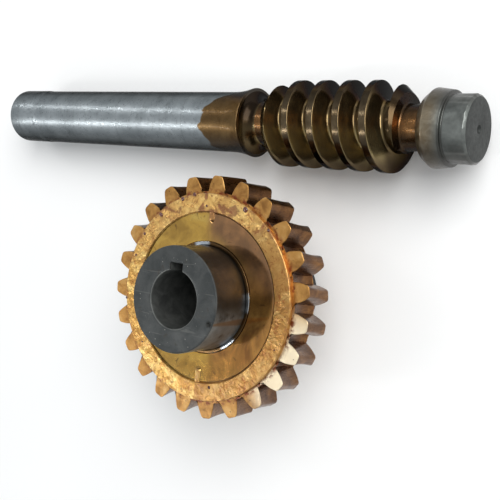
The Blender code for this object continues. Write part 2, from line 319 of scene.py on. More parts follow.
def build_worm(place, materials):
    profile = thread_profile()
    section = [(-offset, radius) for offset, radius in reversed(profile)] + profile[1:]
    offsets = [offset for offset, radius in section]
    radii = [radius for offset, radius in section]
    across = len(section) - 1

    bm = bmesh.new()
    angles = [TURN * i / WORM_STEPS for i in range(WORM_STEPS)]

    def end_ring(z):
        """Where the thread is cut off square at one end of the threaded length."""
        ring = []
        for angle in angles:
            offset = (z - THREAD_PHASE - LEAD * angle / TURN + LEAD / 2) % LEAD - LEAD / 2
            radius = min(THREAD_END_R, float(np.interp(offset, offsets, radii)))
            ring.append(bm.verts.new(polar(radius, angle, z)))
        return ring

    low_ring, high_ring = end_ring(-THREAD_END_FAR), end_ring(THREAD_END_NEAR)
    first_turn = math.floor((-THREAD_END_FAR - THREAD_PHASE) / LEAD) - 1
    start = THREAD_PHASE + first_turn * LEAD
    total = math.ceil((THREAD_END_NEAR - start) / LEAD + 1) * WORM_STEPS
    made = {}

    def thread_vertex(i, k):
        """The vertex at angle step i, counted on over all turns, and point k of the section."""
        if k == across:
            i, k = i + WORM_STEPS, 0
        z = start + LEAD * i / WORM_STEPS + offsets[k]
        if z <= -THREAD_END_FAR:
            return low_ring[i % WORM_STEPS]
        if z >= THREAD_END_NEAR:
            return high_ring[i % WORM_STEPS]
        if (i, k) not in made:
            radius = min(radii[k], threaded_blank_radius(z))
            made[i, k] = bm.verts.new(polar(radius, angles[i % WORM_STEPS], z))
        return made[i, k]

    for i in range(total):
        for k in range(across):
            corners = [thread_vertex(i, k), thread_vertex(i + 1, k),
                       thread_vertex(i + 1, k + 1), thread_vertex(i, k + 1)]
            corners = list(dict.fromkeys(corners))
            if len(corners) > 2:
                bm.faces.new(corners)

    def turned_part(outline, joins):
        rings = []
        for radius, z in outline:
            steps = angles if radius > 0 else angles[:1]
            rings.append([bm.verts.new(polar(worn(radius, a, z), a, z)) for a in steps])
        for first, second in zip(rings, rings[1:]):
            ring_faces(bm, first, second)
        ring_faces(bm, rings[0 if joins is high_ring else -1], joins)

    turned_part(shank_rings(), low_ring)
    turned_part(journal_rings(), high_ring)
    worm = finish_mesh("worm", bm, place, materials, worm_zone)
    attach(worm, "worm")
    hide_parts("worm_shaft")
    return worm


# Slots of worm_materials, rim_materials and hub_materials, in their order.
SHANK, THREAD_FLANK, CREST, NECK, COLLAR, END_FACE = range(6)
BAND, DISC, TOOTH_FACE, TOOTH_FLANK = range(4)
HUB_FACE, HUB_SIDE, BORE = range(3)


def worm_zone(point):
    """The material slot for a face of the worm."""
    radius, z = math.hypot(point.x, point.y), point.z
    if z < -FLARE_START or z < -FLARE_END + 0.3 and radius > SHANK_R - 1.5:
        return SHANK
    if z < -THREAD_END_FAR + 0.01:
        return NECK if z > -RECESS_START else THREAD_FLANK
    if z < THREAD_END_NEAR:
        return CREST if radius > WORM_TIP_R - 0.12 else THREAD_FLANK
    if z < COLLAR_START + 0.2:
        return NECK
    return END_FACE if z > JOURNAL_END - 0.2 or radius < CENTRE_HOLE_R else COLLAR


# ======================================================
# The worm wheel
# ======================================================

def space_edge(radius, z, side):
    """Angle of one edge of a tooth space: the widest that the worm's thread reaches there."""
    deepest = math.sqrt((WORM_TIP_R + TIP_CLEARANCE) ** 2 - z ** 2)
    shallowest = CENTRE_DISTANCE - radius
    reached = []
    for i in range(RACK_SAMPLES + 1):
        h = shallowest + (deepest - shallowest) * i / RACK_SAMPLES
        half = (thread_thickness(math.hypot(h, z)) + BACKLASH) / 2
        rack_y = side * half + LEAD / TURN * math.atan2(z, h)
        x = CENTRE_DISTANCE - h
        for sign in (1, -1):
            y = sign * math.sqrt(max(radius ** 2 - x ** 2, 0))
            reached.append(side * (math.atan2(y, x) - (y - rack_y) / WHEEL_PITCH_R))
    return side * max(reached)


def tooth_ring(z, inset):
    """Outline of the toothed wheel at height z. inset shrinks the teeth, to break their edges."""
    corner = 1.3
    root = CENTRE_DISTANCE - math.sqrt((WORM_TIP_R + TIP_CLEARANCE) ** 2 - z ** 2)
    tip = WHEEL_OUTER_R - inset
    flank_end = tip - corner
    sides = []
    for side in (-1, 1):
        points = []
        for i in range(FLANK_POINTS):
            radius = root + (flank_end - root) * (i / (FLANK_POINTS - 1)) ** 1.4
            angle = space_edge(radius, z, side) + side * inset / radius
            points.append((radius, angle))
        for i in range(1, CORNER_POINTS + 1):
            turn = math.pi / 2 * i / CORNER_POINTS
            radius = flank_end + corner * math.sin(turn)
            shift = (inset + corner * (1 - math.cos(turn))) / radius
            points.append((radius, space_edge(min(radius, tip), z, side) + side * shift))
        sides.append(points)
    left, right = sides
    pitch = TURN / TEETH
    low, high = left[0][1], right[0][1]
    space = list(reversed(left))
    space += [(root, low + (high - low) * i / (FLOOR_POINTS + 1))
              for i in range(1, FLOOR_POINTS + 1)]
    space += right
    land_low, land_high = right[-1][1], left[-1][1] + pitch
    space += [(tip, land_low + (land_high - land_low) * i / (LAND_POINTS + 1))
              for i in range(1, LAND_POINTS + 1)]
    return [polar(radius, angle + tooth * pitch + TEETH_TURN, z)
            for tooth in range(TEETH) for radius, angle in space]


# Tongues of the raised band that run in over the disc: angle, inner radius and half width.
TONGUES = [(math.radians(-1), 50.8, 2.6), (math.radians(-179), 47.8, 2.6)]


def front_height(radius, angle):
    """Height of the rim's front face: disc, step, crinkled band and the tongues across it."""
    band = smooth_step(radius, DISC_R - 1.2, DISC_R + 0.5)
    for middle, inner, half_width in TONGUES:
        aside = abs((angle - middle + math.pi) % TURN - math.pi) * radius
        tip = max(inner + half_width - radius, 0)
        reach = smooth_step(half_width - math.hypot(aside, tip), 0.0, 1.4)
        if radius < DISC_R + 1:
            band = max(band, reach * 0.8)
    place = Vector((radius * math.cos(angle), radius * math.sin(angle), 0))
    crinkle = 0.16 * noise.noise(place * 0.22) + 0.10 * noise.noise(place * 0.6 + Vector((9, 0, 0)))
    edge_fade = smooth_step(BAND_R - radius, 0.0, 1.2)
    return DISC_Z + (BAND_Z - DISC_Z) * band + crinkle * band * edge_fade


def back_height(radius, angle):
    return DISC_Z + (BAND_Z - DISC_Z) * smooth_step(radius, DISC_R - 0.3, DISC_R + 0.3)


def scalloped(radius, angle, outward):
    """The seat's radius at an angle, with the screw holes' halves bitten out of it."""
    for middle in SCREW_ANGLES:
        turn = (angle - middle + math.pi) % TURN - math.pi
        reach = SCREW_HOLE_R ** 2 - (SEAT_R * math.sin(turn)) ** 2
        if reach > 0 and abs(turn) < 1:
            edge = SEAT_R * math.cos(turn) + outward * math.sqrt(reach)
            radius = outward * max(outward * radius, outward * edge)
    return radius


def face_radii():
    """Radii of the rings across a face of the rim, from the band's rim in to the seat."""
    seat = SEAT_R + SEAT_GAP
    radii = [BAND_R - 0.12, BAND_R - 0.45]
    radii += [BAND_R - 1 - 0.75 * i for i in range(14)]
    radii += [DISC_R + 0.7 - 0.2 * i for i in range(8)]
    radii += [DISC_R - 1.3 - 0.75 * i for i in range(14)]
    radii += [DISC_R - 12.8 - 2.0 * i for i in range(3)]
    return radii + [seat + 1.6, seat + 0.3]


def build_rim(place, materials):
    levels = [-TOOTH_HALF + 0.4 + (2 * TOOTH_HALF - 0.8) * i / (RIM_SECTIONS - 1)
              for i in range(RIM_SECTIONS)]
    rings = [tooth_ring(-TOOTH_HALF, TOOTH_EDGE)]
    rings += [tooth_ring(z, 0) for z in levels]
    rings.append(tooth_ring(TOOTH_HALF, TOOTH_EDGE))
    count = len(rings[0])
    first_angle = math.atan2(rings[0][0].y, rings[0][0].x)
    angles = [first_angle + TURN * i / count for i in range(count)]

    def face_rings(side, height):
        wall = [[polar(BAND_R, a, side * z) for a in angles]
                for z in (TOOTH_HALF, BAND_Z - 0.5)]
        return wall + [[polar(r, a, side * (height(r, a) - (0.25 if r > BAND_R - 0.2 else 0)))
                        for a in angles] for r in face_radii()]

    seat = SEAT_R + SEAT_GAP
    rings += face_rings(1, front_height)
    rings += [[polar(seat, a, z) for a in angles] for z in (DISC_Z - 0.3, SCREW_HOLE_END + 0.01)]
    rings += [[polar(scalloped(seat, a, 1), a, z) for a in angles]
              for z in (SCREW_HOLE_END, -DISC_Z + 0.3)]
    back = face_rings(-1, back_height)[:-1]
    back.append([polar(scalloped(seat, a, 1) + 0.3, a, -DISC_Z) for a in angles])
    rings += list(reversed(back))
    rim = finish_mesh("rim", solid_of_rings(rings), place, materials, rim_zone, sharp=30)
    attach(rim, "wheel")
    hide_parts("wheel_rim")
    return rim


def rim_zone(point):
    """The material slot for a face of the rim."""
    radius, z = math.hypot(point.x, point.y), point.z
    if radius < BAND_R + 0.05 and abs(z) > TOOTH_HALF:
        on_band = abs(z) > DISC_Z + 0.3 * (BAND_Z - DISC_Z) or radius > DISC_R + 0.3
        return BAND if on_band else DISC
    if radius < SEAT_R + 4:
        return DISC
    return TOOTH_FACE if abs(z) > TOOTH_HALF - 0.3 else TOOTH_FLANK


# Punch mark in the hub's front face: angle, radius from the axis, half width and depth.
PUNCH_ANGLE = math.radians(-110.5)
PUNCH_R = 32.4
PUNCH_HALF = 1.1
PUNCH_DEPTH = 0.9


def keyed_bore(angle, extra):
    """Radius of the bore with its keyway, grown by extra all round."""
    radius = BORE_R + extra
    turn = (angle + math.pi) % TURN - math.pi
    if abs(turn) < math.pi / 2:
        side = (KEYWAY_HALF + extra) / max(abs(math.sin(turn)), 1e-6)
        floor = (KEYWAY_R + extra) / math.cos(turn)
        radius = max(radius, min(side, floor))
    return radius


def hub_angles():
    """Even steps round the hub, with one moved onto each corner of the keyway."""
    steps = [TURN * i / HUB_STEPS for i in range(HUB_STEPS)]
    corners = [math.asin(KEYWAY_HALF / BORE_R), math.atan2(KEYWAY_HALF, KEYWAY_R)]
    for corner in corners + [TURN - corner for corner in corners]:
        nearest = round(corner / TURN * HUB_STEPS) % HUB_STEPS
        steps[nearest] = corner
    return steps


def build_hub(place, materials):
    angles = hub_angles()

    def plain(radius, z):
        return [polar(radius, a, z) for a in angles]

    def bored(extra, z):
        return [polar(keyed_bore(a, extra), a, z) for a in angles]

    def punched(radius):
        ring = []
        for a in angles:
            inner = keyed_bore(a, BORE_EDGE)
            share = (radius - BORE_R) / (HUB_FACE_R - BORE_R)
            r = inner + (HUB_FACE_R - inner) * share
            gap = math.dist((r * math.cos(a), r * math.sin(a)),
                            (PUNCH_R * math.cos(PUNCH_ANGLE), PUNCH_R * math.sin(PUNCH_ANGLE)))
            dent = PUNCH_DEPTH * max(1 - gap / PUNCH_HALF, 0)
            rim = 0.12 * math.exp(-((gap - PUNCH_HALF - 0.3) / 0.35) ** 2)
            ring.append(polar(r, a, HUB_FRONT - dent + rim))
        return ring

    rings = [bored(BORE_EDGE, -HUB_BACK), bored(0.25, -HUB_BACK + 0.25)]
    rings += [bored(0, z) for z in (-HUB_BACK + BORE_EDGE, -50, -20, 10, 30, HUB_FRONT - BORE_EDGE)]
    rings += [bored(0.25, HUB_FRONT - 0.25), bored(BORE_EDGE, HUB_FRONT)]
    across = [2 + i for i in range(9)] + [11 + 0.35 * i for i in range(11)]
    rings += [punched(BORE_R + step) for step in across]
    rings += [plain(r, z) for r, z in rounded((BORE_R, HUB_FRONT), (HUB_R, HUB_FRONT),
                                              (HUB_R, 0), 1.0, 5)]
    rings += [plain(HUB_R, z) for z in (38, 30, 22, SHOULDER_Z + 0.4)]
    rings += [plain(HUB_R + 0.3, SHOULDER_Z), plain(SEAT_R, SHOULDER_Z),
              plain(SEAT_R, SCREW_HOLE_END + 0.01)]
    rings += [[polar(scalloped(SEAT_R, a, -1), a, z) for a in angles]
              for z in (SCREW_HOLE_END, -DISC_Z)]
    rings += [plain(HUB_R, -DISC_Z), plain(HUB_R, -35), plain(HUB_R, -60)]
    rings += [plain(r, z) for r, z in rounded((HUB_R, 0), (HUB_R, -HUB_BACK),
                                              (BORE_R, -HUB_BACK), 1.0, 5)]
    hub = finish_mesh("hub", solid_of_rings(rings), place, materials, hub_zone, sharp=28)
    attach(hub, "wheel")
    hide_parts("wheel_hub")
    return hub


def hub_zone(point):
    """The material slot for a face of the hub."""
    radius = math.hypot(point.x, point.y)
    if point.z > HUB_FRONT - 1.0 and radius > BORE_R + 0.7 or point.z < -HUB_BACK + 0.3:
        return HUB_FACE
    return HUB_SIDE if radius > HUB_R - 1.2 else BORE


def build_washer(place, materials):
    inner = HUB_R + SEAT_GAP
    outline = [(inner, WASHER_BOTTOM), (SEAT_R, WASHER_BOTTOM), (SEAT_R, WASHER_TOP),
               (inner, WASHER_TOP)]
    points = []
    for i, corner in enumerate(outline):
        points += rounded(outline[i - 1], corner, outline[(i + 1) % 4], 0.3)
    steps = [TURN * i / WASHER_STEPS for i in range(WASHER_STEPS)]
    rings = [[polar(r, a, z) for a in steps] for r, z in points]
    washer = finish_mesh("washer", solid_of_rings(rings), place, materials)
    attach(washer, "housing_side")
    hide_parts("thrust_washer")
    return washer


# Drops of dark oil on the band: angle, radius from the axis and half width.
OIL_DROPS = [(-25, 68.0, 1.9), (-43.9, 69.6, 1.2), (20.9, 68.9, 1.5), (39.6, 67.3, 1.5),
             (56.8, 67.8, 1.1), (98.6, 69.6, 0.9), (-168.1, 60.5, 1.1), (71.4, 66.8, 0.9),
             (12, 69.8, 1.3), (3, 61.5, 0.9), (-112, 66, 0.6), (128, 64, 0.7)]


def build_drops(place, materials):
    """Drops of oil lying on the band, as low domes that sink a little way into it."""
    bm = bmesh.new()
    turns = [TURN * i / DROP_STEPS for i in range(DROP_STEPS)]
    for degrees, radius, size in OIL_DROPS:
        angle = math.radians(degrees)
        middle = polar(radius, angle, front_height(radius, angle))
        rings = []
        for tier in range(DROP_TIERS):
            lift = math.pi / 2 * tier / DROP_TIERS
            wide, high = size * math.cos(lift), 0.5 * size * math.sin(lift)
            rings.append([bm.verts.new(middle + Vector((
                wide * math.cos(turn) * (1 + 0.12 * math.sin(2 * turn)),
                wide * math.sin(turn), high))) for turn in turns])
        under = [bm.verts.new(middle - Vector((0, 0, 0.15 * size)))]
        top = [bm.verts.new(middle + Vector((0, 0, 0.5 * size)))]
        stack = [under] + rings + [top]
        for first, second in zip(stack, stack[1:]):
            ring_faces(bm, first, second)
    drops = finish_mesh("oil_drops", bm, place, materials)
    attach(drops, "wheel")
    return drops


# ======================================================
# Materials
# ======================================================

def seen(red, green, blue):
    """A colour given as it looks, 0 to 255, in the linear values that Blender works in."""
    channels = []
    for value in (red, green, blue):
        value /= 255
        channels.append(value / 12.92 if value <= 0.04045 else ((value + 0.055) / 1.055) ** 2.4)
    return (*channels, 1.0)


class Surface:
    """A material whose nodes are added one by one, in the frame that its piece is built in.

    Places in it are in metres, and the sizes of noises and the depths of bumps in millimetres.
    """

    def __init__(self, place, name, metallic, roughness, **fixed):
        self.mat = bpy.data.materials.new(name)
        self.mat.use_nodes = True
        self.tree = self.mat.node_tree
        self.shader = self.tree.nodes["Principled BSDF"]
        self.shader.inputs["Metallic"].default_value = metallic
        self.shader.inputs["Roughness"].default_value = roughness
        for socket, value in fixed.items():
            self.shader.inputs[socket.replace("_", " ")].default_value = value
        coordinates = self.tree.nodes.new("ShaderNodeTexCoord")
        local = self.tree.nodes.new("ShaderNodeMapping")
        local.vector_type = "TEXTURE"
        local.inputs["Location"].default_value = place.translation
        local.inputs["Rotation"].default_value = place.to_euler()
        self.tree.links.new(coordinates.outputs["Object"], local.inputs["Vector"])
        self.place = local.outputs[0]
        split = self.tree.nodes.new("ShaderNodeSeparateXYZ")
        self.tree.links.new(self.place, split.inputs[0])
        self.x, self.y, self.z = split.outputs

    def put(self, socket, value):
        if isinstance(value, bpy.types.NodeSocket):
            self.tree.links.new(value, socket)
        else:
            socket.default_value = value

    def maths(self, operation, first, second=0.0):
        node = self.tree.nodes.new("ShaderNodeMath")
        node.operation = operation
        self.put(node.inputs[0], first)
        self.put(node.inputs[1], second)
        return node.outputs[0]

    def times(self, first, second):
        return self.maths("MULTIPLY", first, second)

    def length(self, across, along):
        squares = self.maths("ADD", self.times(across, across), self.times(along, along))
        return self.maths("SQRT", squares)

    def radius(self):
        return self.length(self.x, self.y)

    def angle(self):
        return self.maths("ARCTAN2", self.y, self.x)

    def distance(self, point):
        """Distance in millimetres from the line that passes through point along Z."""
        across = self.maths("SUBTRACT", self.x, point.x * MM)
        along = self.maths("SUBTRACT", self.y, point.y * MM)
        return self.maths("DIVIDE", self.length(across, along), MM)

    def between(self, value, low, high):
        """0 where value is below low, 1 above high, and a smooth ramp between them."""
        node = self.tree.nodes.new("ShaderNodeMapRange")
        node.interpolation_type = "SMOOTHSTEP"
        self.put(node.inputs["Value"], value)
        node.inputs["From Min"].default_value = low
        node.inputs["From Max"].default_value = high
        return node.outputs[0]

    def outside(self, value, low, high):
        """1 where value is below low, 0 above high: the reverse of between."""
        return self.maths("SUBTRACT", 1.0, self.between(value, low, high))

    def stretched(self, x, y, z):
        """The piece's coordinates scaled along each axis, so that a noise is drawn out."""
        node = self.tree.nodes.new("ShaderNodeVectorMath")
        node.operation = "MULTIPLY"
        self.tree.links.new(self.place, node.inputs[0])
        node.inputs[1].default_value = (x, y, z)
        return node.outputs[0]

    def rings(self, coordinate, size):
        """Noise that only changes along one coordinate: the marks that a lathe tool leaves."""
        node = self.tree.nodes.new("ShaderNodeTexNoise")
        node.noise_dimensions = "1D"
        self.put(node.inputs["W"], coordinate)
        node.inputs["Scale"].default_value = 1 / (size * MM)
        node.inputs["Detail"].default_value = 3
        return node.outputs[0]

    def noise(self, size, detail=4.0, distortion=0.0, vector=None, roughness=0.55):
        """Noise with features about size millimetres across."""
        node = self.tree.nodes.new("ShaderNodeTexNoise")
        self.put(node.inputs["Vector"], vector or self.place)
        node.inputs["Scale"].default_value = 1 / (size * MM)
        node.inputs["Detail"].default_value = detail
        node.inputs["Distortion"].default_value = distortion
        node.inputs["Roughness"].default_value = roughness
        return node.outputs[0]

    def specks(self, size, share):
        """1 in small round spots, about size millimetres apart, and 0 elsewhere."""
        node = self.tree.nodes.new("ShaderNodeTexVoronoi")
        self.put(node.inputs["Vector"], self.place)
        node.inputs["Scale"].default_value = 1 / (size * MM)
        return self.outside(node.outputs["Distance"], share * 0.5, share)

    def mix(self, share, first, second):
        node = self.tree.nodes.new("ShaderNodeMix")
        node.data_type = "RGBA"
        self.put(node.inputs["Factor"], share)
        self.put(node.inputs[6], first)
        self.put(node.inputs[7], second)
        return node.outputs[2]

    def ramp(self, value, *stops):
        node = self.tree.nodes.new("ShaderNodeValToRGB")
        self.put(node.inputs[0], value)
        elements = node.color_ramp.elements
        while len(elements) < len(stops):
            elements.new(0.5)
        for element, (position, colour) in zip(elements, stops):
            element.position = position
            element.color = colour
        return node.outputs[0]

    def two_tone(self, value, dark, light):
        """From one colour to another, given as they look, as value goes from 0.3 to 0.7."""
        return self.ramp(value, (0.30, seen(*dark)), (0.70, seen(*light)))

    def tint(self, colour, mask, amount, towards):
        """Mix a colour, where the mask is 1, by an amount towards another given as it looks."""
        return self.mix(self.times(mask, amount), colour, seen(*towards))

    def roughness(self, value, low, high):
        """Roughness that runs from low to high as value goes from 0.3 to 0.7."""
        node = self.tree.nodes.new("ShaderNodeMapRange")
        self.put(node.inputs["Value"], value)
        node.inputs["From Min"].default_value = 0.3
        node.inputs["From Max"].default_value = 0.7
        node.inputs["To Min"].default_value = low
        node.inputs["To Max"].default_value = high
        self.tree.links.new(node.outputs[0], self.shader.inputs["Roughness"])

    def colour(self, value):
        self.put(self.shader.inputs["Base Color"], value)

    def near_angles(self, centres, half_width):
        """1 near any of these angles round the axis, in degrees, and 0 away from them.

        A stretch isn't carried past 180 degrees to -180: it stops there.
        """
        total = 0.0
        for centre in centres:
            aside = self.maths("SUBTRACT", self.angle(), math.radians(centre))
            aside = self.maths("ABSOLUTE", aside)
            width = math.radians(half_width)
            inside = self.outside(aside, width * 0.7, width * 1.3)
            total = self.maths("ADD", inside, total)
        return total

    def painted_shade_sides(self, colour, start, full, amount, dark):
        """Painted shade on a round bar's two sides, darker from one distance beside its middle to
        another.
        """
        aside = self.between(self.maths("ABSOLUTE", self.y), start, full)
        return self.mix(self.times(aside, amount), colour, dark)

    def bump(self, *layers):
        """Bump from (height, depth in millimetres) layers, one on top of another."""
        normal = None
        for height, depth in layers:
            node = self.tree.nodes.new("ShaderNodeBump")
            self.put(node.inputs["Height"], height)
            node.inputs["Distance"].default_value = depth * MM
            if normal:
                self.tree.links.new(normal, node.inputs["Normal"])
            normal = node.outputs[0]
        self.tree.links.new(normal, self.shader.inputs["Normal"])


def band_material(place):
    """Lacquered cast bronze of the raised band: crinkled gold with copper and oil stains."""
    s = Surface(place, "gold_band", 0.9, 0.35, Coat_Weight=0.3, Coat_Roughness=0.2)
    gold = s.ramp(s.noise(9, 4, 0.9), (0.30, seen(160, 108, 52)), (0.48, seen(204, 156, 80)),
                  (0.68, seen(236, 202, 126)))
    # Painted highlight: the band is lightened towards pale gold on its +X side, towards the worm.
    gold = s.tint(gold, s.between(s.x, 0.0, 0.06), 0.4, (252, 206, 128))
    away = s.near_angles((-130,), 85)
    gold = s.tint(gold, away, 0.6, (170, 120, 64))
    flow = s.noise(6.5, 4, 3.0)
    gold = s.tint(gold, s.between(flow, 0.52, 0.66), 0.7, (150, 84, 42))
    towards_worm = s.between(s.x, 0.034, 0.062)
    stain = s.times(towards_worm, s.between(s.noise(12, 3, 1.0), 0.50, 0.60))
    gold = s.tint(gold, stain, 0.75, (132, 76, 58))
    near_teeth = s.between(s.radius(), 0.0672, 0.0700)
    rust = s.times(near_teeth, s.between(s.noise(6, 4, 0.5), 0.48, 0.62))
    on_top = s.between(s.z, 0.0136, 0.0142)
    rust = s.times(rust, on_top)
    gold = s.tint(gold, rust, 0.5, (128, 74, 48))
    gold = s.tint(gold, s.specks(9.0, 0.10), 0.7, (110, 62, 38))
    s.colour(gold)
    s.roughness(s.noise(6.0, 3), 0.30, 0.42)
    s.bump((s.noise(7.0, 2, 2.6), 0.40), (s.noise(3.0, 2, 1.0), 0.04))
    return s.mat


def disc_material(place):
    """Turned disc under a film of oil: smooth, olive gold one side and orange-brown the other."""
    s = Surface(place, "bronze_disc", 0.95, 0.2, Coat_Weight=0.5, Coat_Roughness=0.06)
    olive = s.ramp(s.noise(16, 4, 0.8), (0.32, seen(186, 144, 66)), (0.55, seen(226, 180, 84)),
                   (0.75, seen(236, 198, 104)))
    pinkish = s.ramp(s.noise(12, 3), (0.35, seen(146, 108, 74)), (0.65, seen(186, 136, 90)))
    orange = s.ramp(s.noise(12, 4, 1.5, s.stretched(0.45, 1.0, 1.0)), (0.35, seen(150, 100, 48)),
                    (0.65, seen(206, 150, 76)))
    journal_side = s.between(s.maths("SUBTRACT", s.times(s.y, -1.0), s.x), -0.012, 0.030)
    worm_side = s.between(s.maths("SUBTRACT", s.x, s.times(s.y, 0.6)), 0.030, 0.052)
    colour = s.mix(journal_side, olive, orange)
    colour = s.mix(worm_side, colour, pinkish)
    spread = s.between(s.times(s.x, -1.0), -0.030, 0.040)
    shank_side = s.between(s.maths("ADD", s.y, s.times(spread, 0.010)), -0.004, 0.006)
    colour = s.mix(shank_side, colour, olive)
    faded = s.between(s.times(s.x, -1.0), 0.034, 0.050)
    colour = s.tint(colour, faded, 0.6, (152, 112, 54))
    colour = s.tint(colour, s.between(s.noise(5, 5, 1.0), 0.60, 0.72), 0.6, (96, 58, 30))
    s.colour(colour)
    s.roughness(s.noise(8, 3), 0.09, 0.13)
    s.bump((s.rings(s.radius(), 0.9), 0.006), (s.noise(9, 2), 0.05))
    return s.mat


def tooth_face_material(place):
    """Faced ends of the teeth: tan gold, a little matt, with pores and oil near their edges."""
    s = Surface(place, "tooth_faces", 0.85, 0.4, Coat_Weight=0.15, Coat_Roughness=0.2)
    tan = s.ramp(s.noise(8, 4, 0.4), (0.30, seen(142, 98, 48)), (0.52, seen(184, 136, 72)),
                 (0.74, seen(206, 166, 104)))
    pale = s.near_angles((-116,), 24)
    tan = s.tint(tan, pale, 0.85, (250, 236, 204))
    foot = s.outside(s.radius(), 0.0712, 0.0745)
    tan = s.mix(s.times(foot, s.between(s.noise(4, 4), 0.44, 0.6)), tan, seen(128, 70, 42))
    tan = s.mix(s.specks(4.2, 0.11), tan, seen(70, 42, 28))
    s.colour(tan)
    s.roughness(s.noise(1.8, 5), 0.30, 0.52)
    s.bump((s.noise(1.6, 5, 0.8), 0.10), (s.specks(4.2, 0.10), -0.10))
    return s.mat


def flank_material(place):
    """Hobbed flanks and gaps of the teeth, dark with oil, with fine marks across the width."""
    s = Surface(place, "tooth_flanks", 0.95, 0.3, Coat_Weight=0.12, Coat_Roughness=0.1)
    marks = s.noise(1.0, 3, 0.0, s.stretched(1.0, 1.0, 0.12))
    brown = s.ramp(s.noise(9, 4, 0.5), (0.30, seen(78, 48, 26)), (0.55, seen(110, 74, 42)),
                   (0.78, seen(140, 98, 54)))
    brown = s.tint(brown, s.between(marks, 0.5, 0.7), 0.35, (60, 38, 26))
    s.colour(brown)
    s.roughness(marks, 0.22, 0.42)
    s.bump((marks, 0.05), (s.noise(3.5, 3), 0.08))
    return s.mat


def rim_materials(place):
    makers = (band_material, disc_material, tooth_face_material, flank_material)
    return [make(place) for make in makers]


def hub_face_material(place):
    """Turned grey end of the hub, with pale specks and scratches and grime at its punch mark."""
    s = Surface(place, "hub_face", 0.75, 0.5)
    grey = s.two_tone(s.noise(14, 5, 0.5), (58, 61, 61), (84, 86, 85))
    grey = s.tint(grey, s.specks(3.6, 0.09), 0.8, (190, 186, 176))
    scratch = s.between(s.noise(2.2, 2, 0.2, s.stretched(1.0, 0.06, 1.0)), 0.66, 0.72)
    grey = s.tint(grey, scratch, 0.3, (118, 118, 114))
    grey = s.tint(grey, s.between(s.noise(7, 4, 1.2), 0.58, 0.70), 0.4, (62, 54, 44))
    grime = s.outside(s.distance(polar(PUNCH_R, PUNCH_ANGLE, 0)), 1.0, 3.0)
    grey = s.tint(grey, grime, 0.75, (26, 24, 20))
    s.colour(grey)
    s.roughness(s.noise(1.5, 4), 0.40, 0.56)
    s.bump((s.rings(s.radius(), 0.5), 0.015), (s.noise(1.1, 5), 0.03))
    return s.mat


def hub_side_material(place):
    """Turned side of the hub: nearly black under brown oil, with a painted reflection of the floor
    in grey on one side above the rim.
    """
    s = Surface(place, "hub_side", 0.7, 0.4, Coat_Weight=0.1, Coat_Roughness=0.2)
    oily = s.two_tone(s.noise(10, 4, 0.6), (30, 28, 26), (44, 42, 39))
    # Painted reflection: a light grey patch round -140 degrees, above the rim, stands in for the
    # floor mirrored in the hub's side.
    wiped_steel_and_reflection = s.two_tone(s.noise(8, 4), (100, 104, 104), (134, 138, 138))
    painted_reflection_area = s.times(s.near_angles((-140,), 40), s.between(s.z, 0.0, 0.016))
    colour = s.mix(s.times(painted_reflection_area, s.between(s.noise(12, 3), 0.25, 0.45)), oily, wiped_steel_and_reflection)
    below_mark = s.maths("SUBTRACT", HUB_FRONT * MM, s.z)
    aside = s.maths("ABSOLUTE", s.maths("SUBTRACT", s.x, PUNCH_R * math.cos(PUNCH_ANGLE) * MM))
    aside = s.maths("SUBTRACT", aside, s.times(below_mark, 0.05))
    run = s.outside(aside, 0.0, 0.0016)
    run = s.times(run, s.between(s.times(s.y, -1.0), 0.0, 0.02))
    colour = s.tint(colour, run, 0.75, (110, 84, 54))
    s.colour(colour)
    s.roughness(s.noise(3, 4), 0.34, 0.48)
    s.bump((s.rings(s.z, 0.45), 0.02), (s.noise(2.5, 4), 0.03))
    return s.mat


def bore_material(place):
    """Bored steel with the marks of the tool."""
    s = Surface(place, "hub_bore", 0.8, 0.42)
    s.colour(s.two_tone(s.noise(7, 4, 0.5), (86, 88, 86), (124, 126, 122)))
    s.roughness(s.noise(2, 4), 0.34, 0.5)
    s.bump((s.rings(s.z, 0.6), 0.03), (s.noise(2, 4), 0.04))
    return s.mat


WIPED_ANGLES = (8, -88, -140)             # where the washer shows bright through the oil, degrees


def washer_material(place):
    """Bright ground steel that shows through brown oil in a few places."""
    s = Surface(place, "washer_steel", 1.0, 0.18)
    bright = s.two_tone(s.noise(5, 4), (186, 196, 206), (226, 232, 238))
    wiped_steel_and_reflection = s.near_angles(WIPED_ANGLES, 9)
    s.colour(s.mix(wiped_steel_and_reflection, seen(104, 80, 52), bright))
    s.roughness(s.noise(2, 4), 0.12, 0.26)
    s.bump((s.rings(s.radius(), 0.25), 0.01), (s.noise(1.5, 3), 0.01))
    return s.mat


DULL_EDGE = (0.2, 0.2, 0.2, 1.0)          # grimy metal doesn't brighten where it turns away


